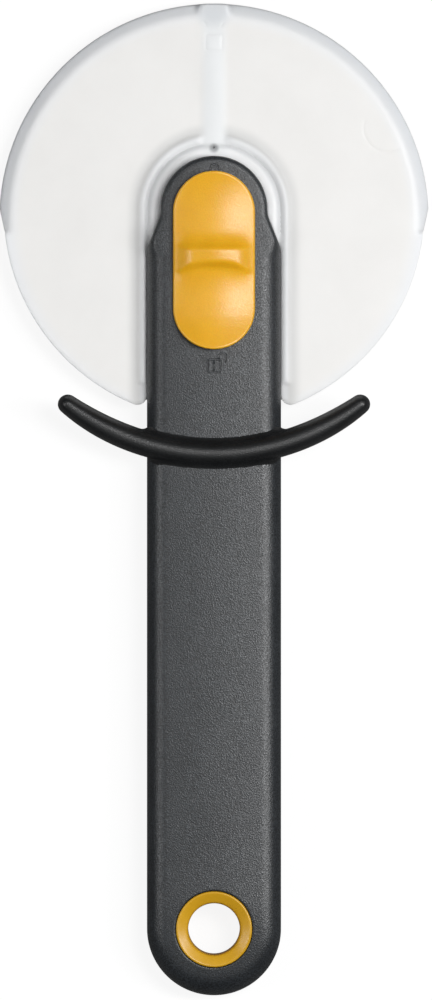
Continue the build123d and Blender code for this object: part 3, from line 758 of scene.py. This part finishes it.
def front_foot(u):
    """Centre of the front wall's rounded foot beside a slot of this half width."""
    radius, rise = FRONT_LEG
    return u + LEG_CORNER, rise - sqrt((radius - LEG_CORNER) ** 2 - (u + LEG_CORNER) ** 2)


def leg_path(front, top, foot_u):
    """Right side of an open wall: from the foot's inner corner round the leg up to the height top."""
    radius, rise = FRONT_LEG if front else BACK_LEG
    end_angle = degrees(asin((top - rise) / radius))
    if front:
        corner_u, corner_v = front_foot(foot_u)
        path, from_angle = [], -180
    else:
        corner_v = BACK_LOW + LEG_CORNER
        corner_u = sqrt((radius - LEG_CORNER) ** 2 - (corner_v - rise) ** 2)
        path, from_angle = line((foot_u, BACK_LOW), (corner_u, BACK_LOW)), -90
    start_angle = degrees(atan2(corner_v - rise, corner_u))
    path += arc((corner_u, corner_v), LEG_CORNER, from_angle, start_angle)[:-1]
    return path + arc((0, rise), radius, start_angle, end_angle)


def along_rim(way, runs):
    """Reach, fall and slope after a length along a section of (length, radius) runs."""
    out = down = turn = 0.0
    for length, radius in runs:
        step = min(way, length)
        after = turn + step / radius if radius else turn
        out += radius * (sin(after) - sin(turn)) if radius else step * cos(turn)
        down += radius * (cos(turn) - cos(after)) if radius else step * sin(turn)
        way, turn = way - step, after
    return out, down, turn


def unrolled(u, v):
    """Where a point of the rim's plan lies on the unrolled sheet."""
    reach = hypot(u, v)
    if reach <= FLAT_REACH:
        return Vector((u, v))
    low, high = 0.0, sum(length for length, _ in RIM_RUNS[:-1])
    for _ in range(HALVINGS):
        middle = (low + high) / 2
        low, high = (middle, high) if along_rim(middle, RIM_RUNS)[0] < reach - FLAT_REACH else (low, middle)
    spread = (FLAT_REACH + low) / reach
    return Vector((u * spread, v * spread))


def slot_path():
    """Right side of the arm's slot in the front wall, from its top down to the foot."""
    half = GRIP_HALF + SLIDE_GAP
    head = HEAD_RADIUS + SLIDE_GAP
    path = arc((0, HEAD_RISE), head, 90, 0)
    neck = rounded(
        [(head, HEAD_RISE), (head, NECK_TOP), (half, NECK_LOW), (half, front_foot(half)[1])],
        [NECK_ROUND - SLIDE_GAP, NECK_ROUND + SLIDE_GAP],
    )
    return path + neck[1:-1]


def bump(distance, half, power):
    """A soft hump: 1 in its middle and 0 beyond its half width."""
    x = distance / half
    return (1 - x * x) ** power if abs(x) < 1 else 0.0


def bead_height(u, v):
    """Height of the ridge round the slot with its soft apron, and of the collar round the head."""
    reach = hypot(u, v - HEAD_RISE) if v > HEAD_RISE else abs(u)
    ends = smooth_step(v, BEAD_LOW - BEAD_END, BEAD_LOW + BEAD_END)
    at_rib = smooth_step(abs(u), *RIB_SIDES) if v > HEAD_RISE else 1.0
    ridge = (BEAD_HEIGHT - APRON) * bump(reach - BEAD_REACH, BEAD_HALF, BEAD_POWER) * at_rib
    apron = APRON * bump(reach - BEAD_REACH, APRON_REACH, APRON_POWER)
    past_collar = max(0.0, reach - COLLAR_REACH)
    collar = COLLAR_HEIGHT * bump(past_collar, COLLAR_HALF, COLLAR_POWER) * smooth_step(v, *COLLAR_LOW)
    return max((ridge + apron) * ends, collar)


def rib_height(u, v):
    """The low rib up the middle, from the bead to the top mark."""
    shape = bump(u, RIB_HALF, RIB_POWER) * smooth_step(v, RIB_LOW - RIB_LOW_FADE, RIB_LOW)
    return RIB_HEIGHT * shape * (1 - smooth_step(v, RIB_TOP - RIB_TOP_FADE, RIB_TOP))


def front_relief(u, v):
    """Height of everything that stands on the front wall."""
    return max(bead_height(u, v), rib_height(u, v))


def rim_place(point, front):
    """Where a point of the unrolled sheet lies on the guard's wall, outside and inside.

    Both places are (u, v, depth below the wall's face).
    """
    reach = point.length
    if reach <= FLAT_REACH:
        return (point.x, point.y, 0.0), (point.x, point.y, WALL)
    drape = smooth_step(point.y, *(FRONT_DRAPE if front else BACK_DRAPE))
    share = (reach - FLAT_REACH) / (SEAM_REACH - FLAT_REACH)
    out, down, turn = along_rim(reach - FLAT_REACH, RIM_RUNS)
    if front and point.y > 0:
        at_tab = 1 - smooth_step(abs(point.x), *TAB_FADE)
        tab = along_rim(share * sum(length for length, _ in TAB_RUNS), TAB_RUNS)
        out, down, turn = [a + (b - a) * at_tab for a, b in zip((out, down, turn), tab)]
    out = reach + (FLAT_REACH + out - reach) * drape
    down, turn = down * drape, turn * drape
    inner_out, inner_down = out - WALL * sin(turn), down + WALL * cos(turn)
    across = point / reach
    return (across.x * out, across.y * out, down), (across.x * inner_out, across.y * inner_out, inner_down)


def score_rows(path):
    """A scored line as three rows of points: its bottom and its two edges."""
    return [path, beside(path, SCORE_HALF), beside(path, -SCORE_HALF)]


def form_rows():
    """Lines of points that follow the collar and the ridge, so that their rounding comes out even."""
    rows = []
    reach = HEAD_RADIUS + FORM_START
    while reach < BEAD_REACH + BEAD_HALF + FORM_SPACING:
        low = NECK_TOP if reach < GRIP_HALF + FORM_START else BEAD_LOW - FORM_PAST
        right = arc((0, HEAD_RISE), reach, 90, 0) + line((reach, HEAD_RISE), (reach, low))[1:]
        row = right + [Vector((-p.x, p.y)) for p in right[1:]]
        rows.append([p for p in row if hypot(p.x, p.y - DRAIN_V) > DRAIN_CLEAR])
        reach += FORM_SPACING
    return rows


def guard_sheet(front):
    """Outer and inner skin of the front or back half of the guard, joined at the rim's middle."""
    if front:
        start = slot_path()
        legs = leg_path(True, RIM_CUT_LOW, GRIP_HALF + SLIDE_GAP)
    else:
        start = arc((0, 0), BACK_SLOT_HALF, 90, 0)[:-1]
        start += line((BACK_SLOT_HALF, 0), (BACK_SLOT_HALF, BACK_LOW))
        legs = leg_path(False, RIM_CUT_TOP, BACK_SLOT_HALF)
    seam_start = degrees(asin(RIM_CUT_TOP / GUARD_RADIUS))
    rim_end = Vector((sqrt(GUARD_RADIUS**2 - RIM_CUT_TOP**2), RIM_CUT_TOP))
    rim_cut = [unrolled(*p) for p in line(legs[-1], rim_end)[1:]] + [unrolled(*rim_end)]
    seam = arc((0, 0), SEAM_REACH, seam_start, 90)
    right = start + legs + rim_cut + line(rim_cut[-1], seam[0])[1:] + seam
    loop = closed_by_mirror(right)
    rows, holes = [], []
    if front:
        drain = arc((0, DRAIN_V), DRAIN_RADIUS, -90, 30, DRAIN_STEP) + [Vector((0, DRAIN_V + DRAIN_TIP))]
        holes.append(closed_by_mirror(drain))
        half = GATE_MARK / 2
        mark = [(-half, GATE_MARK_V - half), (half, GATE_MARK_V - half), (half, GATE_MARK_V + half)]
        mark += [(-half, GATE_MARK_V + half), mark[0]]
        for a, b in zip(mark, mark[1:]):
            rows += score_rows(line(a, b, SCORE_STEP)[1:])
        rows += score_rows(arc(EJECTOR_PLACE, EJECTOR_RADIUS, *EJECTOR_ENDS, EJECTOR_STEP))
        end_u, end_v = TAB_SCORE_END
        for side in (-1, 1):
            rows += score_rows(line((side * TAB_INNER, TAB_LOW), (side * end_u, end_v), SCORE_STEP))
        scored = len(rows)
        rows += form_rows()
    insets = [GUARD_EDGE * s for s in GUARD_EDGE_SHARES]
    spacing = GUARD_SPACING if front else BACK_SPACING
    points, inset_of, row_of, triangles = tile(loop, spacing, insets, rows, holes)
    outer, inner = [], []
    for p, inset, row in zip(points, inset_of, row_of):
        (u, v, down), (inner_u, inner_v, inner_down) = rim_place(p, front)
        at_seam = p.length > FLAT_REACH + PAST_FLAT and p.y > RIM_CUT_LOW
        drop = 0.0 if at_seam else round_drop(inset, GUARD_EDGE)
        if front:
            drop -= front_relief(u, v)
            if row is not None and row < scored and row % SCORE_ROWS == 0:
                drop += SCORE_DEPTH
            outer.append((u, v, GUARD_DEPTH - down - drop))
            inner.append((inner_u, inner_v, GUARD_DEPTH - inner_down))
        else:
            outer.append((u, v, down + drop))
            inner.append((inner_u, inner_v, inner_down))
    if not front:
        triangles = [tuple(reversed(t)) for t in triangles]
    on_seam = {i for i, p in enumerate(points) if p.length > SEAM_REACH - AT_SEAM}
    return between_skins(outer, inner, triangles, lambda a, b: a in on_seam and b in on_seam)


def make_blade_guard():
    """The frosted guard: two draped half shells welded along the middle of the rim."""
    points, faces = joined(guard_sheet(True), guard_sheet(False))
    frosted = MATERIALS["blade_guard"]
    piece = make_piece("frosted_guard", points, faces, "wheel_cover", frosted, ["blade_guard"])
    weld = piece.modifiers.new("seam", "WELD")
    weld.merge_threshold = AT_SEAM * MM
    return piece


make_blade_guard()


# Release button

BUTTON_TOP = button_high.z
BUTTON_HALF = (button_high.x - button_low.x) / 2
BUTTON_V = (button_low.y + button_high.y) / 2 - AXLE_Y
BUTTON_LENGTH = button_high.y - button_low.y
BUTTON_EDGE = 0.5
BUTTON_EDGE_SHARES = (0.02, 0.08, 0.18, 0.32, 0.5, 0.72, 1.0)
BUTTON_STEP = 0.4
BUTTON_SPACING = 0.3
# Gap between the button's underside and the handle's face
BUTTON_GAP = 0.35
BUTTON_CROWN = 33.0
TENON_HALF = 3.0
TENON_TOP = -6.5
TENON_LOW = -21.0
# Depth of the two thumb scoops below the button's top, along v
THUMB_FLOOR = [
    (-30.7, 0.55), (-29.0, 0.94), (-27.0, 1.4), (-24.7, 1.86), (-22.6, 2.15), (-20.0, 2.3), (-17.0, 2.32),
    (-12.5, 2.22), (-8.8, 2.02), (-5.0, 1.85), (-1.5, 1.8), (1.7, 1.77), (4.7, 1.62), (7.6, 1.3),
    (10.9, 0.65),
]
# Height of the ridge between them
RIDGE_RISE = [
    (-17.5, 0.0), (-16.0, 0.04), (-15.0, 0.09), (-14.0, 0.17), (-13.2, 0.28), (-12.5, 0.42), (-11.9, 0.62),
    (-11.4, 0.92), (-10.9, 1.42), (-10.5, 1.76), (-10.1, 1.93), (-9.6, 1.98), (-8.2, 1.98), (-7.7, 1.95),
    (-7.3, 1.84), (-6.9, 1.6), (-6.4, 1.23), (-5.8, 0.87), (-5.2, 0.6), (-4.6, 0.4), (-3.9, 0.24),
    (-3.0, 0.11), (-2.0, 0.03), (-1.0, 0.0),
]
# The ridge is crowned, and its ends fall away between two distances from the middle
RIDGE_V = -8.8
RIDGE_CROWN = 0.0036
RIDGE_END = (4.9, 9.4)
RIDGE_END_DROP = 0.55
# Its lower side is an arch: how far it bends, at what distance from the middle and by what power, and the
# distances below the ridge between which the bend starts and ends
ARCH_BEND = 1.5
ARCH_REACH = 7.6
ARCH_POWER = 3
ARCH_START = (-0.2, 1.4)
ARCH_END = (5.0, 10.0)


def smooth_line(points):
    """A function that follows (place, value) points smoothly and never overshoots them."""
    steps = [(d1 - d0) / (v1 - v0) for (v0, d0), (v1, d1) in zip(points, points[1:])]
    inner = [2 * a * b / (a + b) if a * b > 0 else 0.0 for a, b in zip(steps, steps[1:])]
    slopes = [steps[0], *inner, steps[-1]]

    def follow(v):
        v = min(max(v, points[0][0]), points[-1][0])
        i = max(k for k in range(len(points) - 1) if points[k][0] <= v)
        (v0, d0), (v1, d1) = points[i], points[i + 1]
        span = v1 - v0
        x = (v - v0) / span
        rise = d0 + (d1 - d0) * x * x * (3 - 2 * x)
        return rise + span * x * (1 - x) * (slopes[i] * (1 - x) - slopes[i + 1] * x)

    return follow


scoop_depth = smooth_line(THUMB_FLOOR)
ridge_rise = smooth_line(RIDGE_RISE)


def thumb_face(u, v):
    """Depth of the button's face below its top: two crowned scoops and the ridge between them."""
    bend = ARCH_BEND * min(1.0, abs(u) / ARCH_REACH) ** ARCH_POWER * smooth_step(RIDGE_V - v, *ARCH_START)
    bend *= 1 - smooth_step(RIDGE_V - v, *ARCH_END)
    kept = 1 - RIDGE_CROWN * u * u - RIDGE_END_DROP * smooth_step(abs(u), *RIDGE_END)
    return scoop_depth(v) - ridge_rise(v + bend) * kept + u * u / (2 * BUTTON_CROWN)


def make_button():
    """The sliding button: a pill with thumb scoops, a cross ridge and its tenon below."""
    straight = BUTTON_LENGTH / 2 - BUTTON_HALF
    right = arc((0, BUTTON_V - straight), BUTTON_HALF, -90, 0, BUTTON_STEP)[:-1]
    right += line((BUTTON_HALF, BUTTON_V - straight), (BUTTON_HALF, BUTTON_V + straight), BUTTON_STEP)
    right += arc((0, BUTTON_V + straight), BUTTON_HALF, 0, 90, BUTTON_STEP)
    insets = [BUTTON_EDGE * s for s in BUTTON_EDGE_SHARES]
    points, inset_of, _, triangles = tile(closed_by_mirror(right), BUTTON_SPACING, insets)
    top, bottom = [], []
    for p, inset in zip(points, inset_of):
        top.append((p.x, p.y, BUTTON_TOP - thumb_face(p.x, p.y) - round_drop(inset, BUTTON_EDGE)))
        bottom.append((p.x, p.y, FACE_Z + BUTTON_GAP - crown_drop(p.x)))
    left, right = -TENON_HALF, TENON_HALF
    foot = [(left, TENON_LOW), (right, TENON_LOW), (right, TENON_TOP), (left, TENON_TOP)]
    corners = [(u, v, z) for z in (button_low.z, FACE_Z + BUTTON_GAP) for u, v in foot]
    sides = [[0, 1, 5, 4], [1, 2, 6, 5], [2, 3, 7, 6], [3, 0, 4, 7], [3, 2, 1, 0], [4, 5, 6, 7]]
    points, faces = joined(between_skins(top, bottom, triangles), (corners, sides))
    return make_piece(
        "thumb_button", points, faces, "release_slider", MATERIALS["button"], ["release_button"]
    )


make_button()


# Finger guard

BAR_RADIUS = 56.3
BAR_WIDTH = 6.05
BAR_V = -54.8
BAR_TIP = 2.3
BAR_REACH = bar_high.x
# The bar narrows towards its tips with this power of the way along it
BAR_TAPER = 4
# Its section is a rounded box: 2 is an ellipse, and more is fuller
BAR_FULLNESS = 2.25
TIP_FULLNESS = 2.6
# Points round the section and stations along half the bar, then stations on its tip in degrees
BAR_SIDES = 120
BAR_STATIONS = 90
TIP_STATIONS = (12, 25, 38, 50, 61, 71, 79, 85, 88.5)
# How strongly the points crowd at the section's sides, where the bar meets the handle
SIDE_CROWDING = 0.32
BAR_SHARP = 60
# Radii of the soft roots on the handle: at the bar's upper and lower edge beside the grip, and on its face
UPPER_ROOT = 2.5
LOWER_ROOT = 0.6
FACE_ROOT = 1.3
ROOT_SINK = 0.12
# Width at the grip's side over which the roots change, and the share of the section's top that has none
ROOT_CHANGE = 3.0
ROOT_SHARE = 0.35


def above_grip(u, z):
    """Distance of a point beside or above the grip from the grip's surface."""
    corner = GRIP_HALF - EDGE_ROUND
    lift = z + crown_drop(u) - FACE_Z
    if abs(u) <= corner:
        return lift
    if lift <= -EDGE_ROUND:
        return abs(u) - GRIP_HALF
    return hypot(abs(u) - corner, lift + EDGE_ROUND) - EDGE_ROUND


def root_flare(u, z, side):
    """How much the bar widens where it meets the handle; side is 1 at its upper edge and -1 at its lower."""
    root = UPPER_ROOT if side > 0 else LOWER_ROOT
    r = FACE_ROOT + (root - FACE_ROOT) * smooth_step(abs(u), GRIP_HALF - ROOT_CHANGE, GRIP_HALF)
    above = max(0.0, above_grip(u, z) + ROOT_SINK)
    return r - sqrt(r**2 - (r - above) ** 2) if above < r else 0.0


def make_finger_guard():
    """The curved bar: a tapering rounded section swept along its arc, with soft roots on the handle."""
    centre_v = BAR_V + BAR_RADIUS
    tip_turn = asin((BAR_REACH - BAR_TIP) / BAR_RADIUS)
    end_turn = tip_turn + BAR_TIP / BAR_RADIUS
    middle_z, half_z = (bar_low.z + bar_high.z) / 2, (bar_high.z - bar_low.z) / 2
    stations = [tip_turn * i / BAR_STATIONS for i in range(-BAR_STATIONS, BAR_STATIONS + 1)]
    tip = [tip_turn + (end_turn - tip_turn) * sin(radians(a)) for a in TIP_STATIONS]
    stations = [-turn for turn in reversed(tip)] + stations + tip
    power = 2 / BAR_FULLNESS
    points = []
    for turn in stations:
        share = min(1.0, abs(turn) / tip_turn)
        half = BAR_WIDTH / 2 + (BAR_TIP - BAR_WIDTH / 2) * share**BAR_TAPER
        past = max(0.0, abs(turn) - tip_turn) * BAR_RADIUS / BAR_TIP
        narrow = sqrt(max(0.0, 1 - past**2))
        flat = sqrt(max(0.0, 1 - past**TIP_FULLNESS))
        for k in range(BAR_SIDES):
            a = 2 * pi * k / BAR_SIDES
            a -= SIDE_CROWDING * sin(2 * a)
            across = half * narrow * abs(cos(a)) ** power * (1 if cos(a) >= 0 else -1)
            z = middle_z + half_z * flat * abs(sin(a)) ** power * (1 if sin(a) >= 0 else -1)
            side = 1 if across < 0 else -1
            u = (BAR_RADIUS + across) * sin(turn)
            across -= side * root_flare(u, z, side) * smooth_step(abs(cos(a)), 0.0, ROOT_SHARE)
            reach = BAR_RADIUS + across
            points.append((reach * sin(turn), centre_v - reach * cos(turn), z))
    faces = []
    rings = len(stations)
    for i in range(rings - 1):
        here, there = i * BAR_SIDES, (i + 1) * BAR_SIDES
        for k in range(BAR_SIDES):
            n = (k + 1) % BAR_SIDES
            faces.append([here + k, there + k, there + n, here + n])
    faces.append(list(range(BAR_SIDES)))
    faces.append(list(reversed(range((rings - 1) * BAR_SIDES, rings * BAR_SIDES))))
    bar = MATERIALS["finger_guard"]
    return make_piece("finger_bar", points, faces, "handle", bar, ["finger_guard"], BAR_SHARP)


make_finger_guard()


# Table, light and camera

# The picture: its size and the axle's place in pixels, millimetres per pixel, and the height where that holds
FRAME_WIDTH, FRAME_HEIGHT = 432, 1000
AXLE_PIXEL = (214, 217.8)
PIXEL = 0.23256
VIEW_Z = 11.0
LENS = 400.0
SENSOR = 36.0
CLIP_SHARES = (0.02, 4)
WHITE = "#ffffff"
# The table: half its side in metres, its height in millimetres, its tone for light and for the camera, and
# the glow that reflections and the camera see in it
TABLE_HALF = 3.0
TABLE_Z = -0.1
TABLE_TONE = "#5c5c5c"
TABLE_SEEN_TONE = "#636363"
TABLE_SHINE = 0.04
TABLE_GLOW = 0.89
# The studio's light, from how high up it brightens, and the same of its ceiling in reflections
HORIZON_LIGHT = 0.01
SKY = {"From Min": 0.2, "To Min": HORIZON_LIGHT, "To Max": 0.05}
CEILING = {"From Min": 0.45, "From Max": 0.8, "To Min": HORIZON_LIGHT, "To Max": 0.22}
LAMP_DISTANCE = 1.05
# Name, angle from straight above, angle round, size in metres and power in watts
SOFTBOXES = [
    ("right_high_softbox", 18, 25, (0.26, 0.26), 4.2),
    ("right_middle_softbox", 30, 5, (0.26, 0.4), 3.4),
    ("right_low_softbox", 46, 0, (0.26, 0.3), 3.4),
    ("left_high_softbox", 17, 145, (0.24, 0.24), 0.4),
    ("left_low_softbox", 46, 182, (0.38, 0.36), 3.0),
]


def make_table():
    """Pale table: it shows white to the camera, keeps the cutter's shadow and softly lights its sides."""
    made = bpy.data.materials.new("white_table")
    made.use_nodes = True
    tree = made.node_tree
    tree.nodes.clear()
    rays = add_node(tree, "LightPath")
    seen = {0: rays.outputs["Is Camera Ray"], 1: rays.outputs["Is Transmission Ray"]}
    looked_at = add_node(tree, "Math", seen, operation="MAXIMUM").outputs[0]
    plain = add_node(tree, "BsdfDiffuse", {"Color": linear(TABLE_TONE)})
    dim_glow = add_node(tree, "Emission", {"Color": linear(WHITE), "Strength": TABLE_SHINE})
    pale = add_node(tree, "AddShader", {0: plain.outputs[0], 1: dim_glow.outputs[0]})
    reflected = {0: rays.outputs["Is Glossy Ray"], 1: plain.outputs[0], 2: pale.outputs[0]}
    lit = add_node(tree, "MixShader", reflected)
    shaded = add_node(tree, "BsdfDiffuse", {"Color": linear(TABLE_SEEN_TONE)})
    glow = add_node(tree, "Emission", {"Color": linear(WHITE), "Strength": TABLE_GLOW})
    white = add_node(tree, "AddShader", {0: shaded.outputs[0], 1: glow.outputs[0]})
    both = add_node(tree, "MixShader", {0: looked_at, 1: lit.outputs[0], 2: white.outputs[0]})
    add_node(tree, "OutputMaterial", {"Surface": both.outputs[0]})
    signs = [(-1, -1), (1, -1), (1, 1), (-1, 1)]
    mesh = bpy.data.meshes.new("table")
    mesh.from_pydata([(x * TABLE_HALF, y * TABLE_HALF, TABLE_Z * MM) for x, y in signs], [], [[0, 1, 2, 3]])
    mesh.materials.append(made)
    table = bpy.data.objects.new("table", mesh)
    bpy.context.scene.collection.objects.link(table)


def make_world():
    """A studio that is dim at the horizon and brighter overhead, and plain white beyond the table.

    The camera sees the white. Reflections see a paler ceiling, so that bare steel doesn't look black.
    """
    world = bpy.data.worlds.new("studio")
    bpy.context.scene.world = world
    world.use_nodes = True
    tree = world.node_tree
    tree.nodes.clear()
    way = add_node(tree, "TexCoord").outputs["Generated"]
    height = add_node(tree, "SeparateXYZ", {0: way}).outputs["Z"]
    dim = add_node(tree, "MapRange", {"Value": height, **SKY}, interpolation_type="SMOOTHSTEP")
    pale = add_node(tree, "MapRange", {"Value": height, **CEILING}, interpolation_type="SMOOTHSTEP")
    path = add_node(tree, "LightPath").outputs
    sky = add_node(tree, "Background", {"Color": linear(WHITE), "Strength": dim.outputs["Result"]})
    ceiling = add_node(tree, "Background", {"Color": linear(WHITE), "Strength": pale.outputs["Result"]})
    white = add_node(tree, "Background", {"Color": linear(WHITE), "Strength": 1.0})
    around = add_node(tree, "MixShader", {0: path["Is Glossy Ray"], 1: sky.outputs[0], 2: ceiling.outputs[0]})
    seen = {0: path["Is Camera Ray"], 1: path["Is Transmission Ray"]}
    looked_at = add_node(tree, "Math", seen, operation="MAXIMUM").outputs[0]
    both = add_node(tree, "MixShader", {0: looked_at, 1: around.outputs[0], 2: white.outputs[0]})
    add_node(tree, "OutputWorld", {"Surface": both.outputs[0]})


def make_softbox(name, from_zenith, around, size, power):
    """A rectangular lamp on a dome above the cutter.

    Both angles are in degrees, and around is measured from the cutter's right towards its wheel.
    """
    lamp = bpy.data.lights.new(name, "AREA")
    lamp.shape = "RECTANGLE"
    lamp.size, lamp.size_y = size
    lamp.energy = power
    tilt, turn = radians(from_zenith), radians(around)
    way = Vector((sin(tilt) * cos(turn), sin(tilt) * sin(turn), cos(tilt)))
    holder = bpy.data.objects.new(name, lamp)
    holder.location = way * LAMP_DISTANCE
    holder.rotation_mode = "QUATERNION"
    holder.rotation_quaternion = (-way).to_track_quat("-Z", "Y")
    holder.visible_camera = False
    bpy.context.scene.collection.objects.link(holder)


def make_camera():
    """Camera straight above, far enough that the cutter's heights don't shift in the picture."""
    lens = bpy.data.cameras.new("camera")
    lens.lens, lens.sensor_width = LENS, SENSOR
    holder = bpy.data.objects.new("camera", lens)
    distance = FRAME_HEIGHT * PIXEL * MM * LENS / SENSOR
    middle_u = (FRAME_WIDTH / 2 - AXLE_PIXEL[0]) * PIXEL
    middle_v = (AXLE_PIXEL[1] - FRAME_HEIGHT / 2) * PIXEL
    holder.location = (middle_u * MM, (AXLE_Y + middle_v) * MM, VIEW_Z * MM + distance)
    lens.clip_start, lens.clip_end = [distance * share for share in CLIP_SHARES]
    bpy.context.scene.collection.objects.link(holder)
    bpy.context.scene.camera = holder


make_table()
make_world()
for softbox in SOFTBOXES:
    make_softbox(*softbox)
make_camera()
bpy.context.scene.view_settings.view_transform = "Standard"
